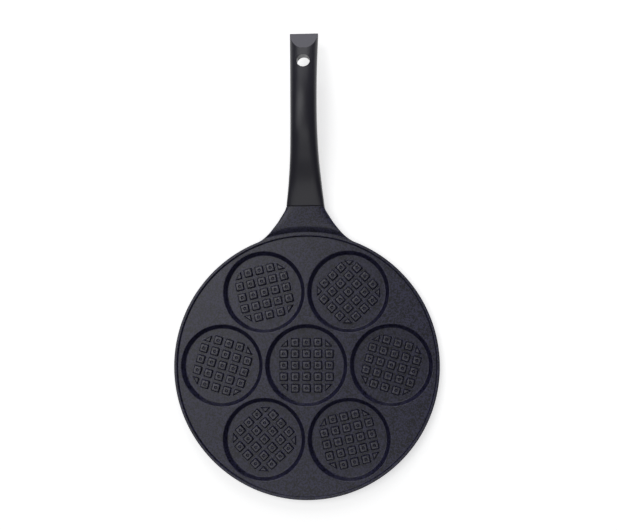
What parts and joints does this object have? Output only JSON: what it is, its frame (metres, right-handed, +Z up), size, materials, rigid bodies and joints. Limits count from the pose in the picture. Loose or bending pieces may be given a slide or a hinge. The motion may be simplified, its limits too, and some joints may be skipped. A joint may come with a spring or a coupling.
{
  "type": "pancake pan",
  "caption": "Round cast griddle pan with shallow round cups, square studs on their floors, a raised rim and one long arched handle with a hanging hole.",
  "frame": {"origin": "centre of the flat base, on the surface that the pan stands on", "axes": "+Y from the pan's centre to the handle, +Z up out of the cups"},
  "size_m": [0.265, 0.4636, 0.0521],
  "materials": {
    "coated_aluminium": "fine-grained dark non-stick coat",
    "phenolic": "smooth satin moulding",
    "steel": "zinc-plated"
  },
  "bodies": {
    "root": {"pan_casting": "coated_aluminium", "handle": "phenolic", "handle_screw": "steel", "spring_washer": "steel", "flat_washer": "steel"}
  },
  "joints": []
}
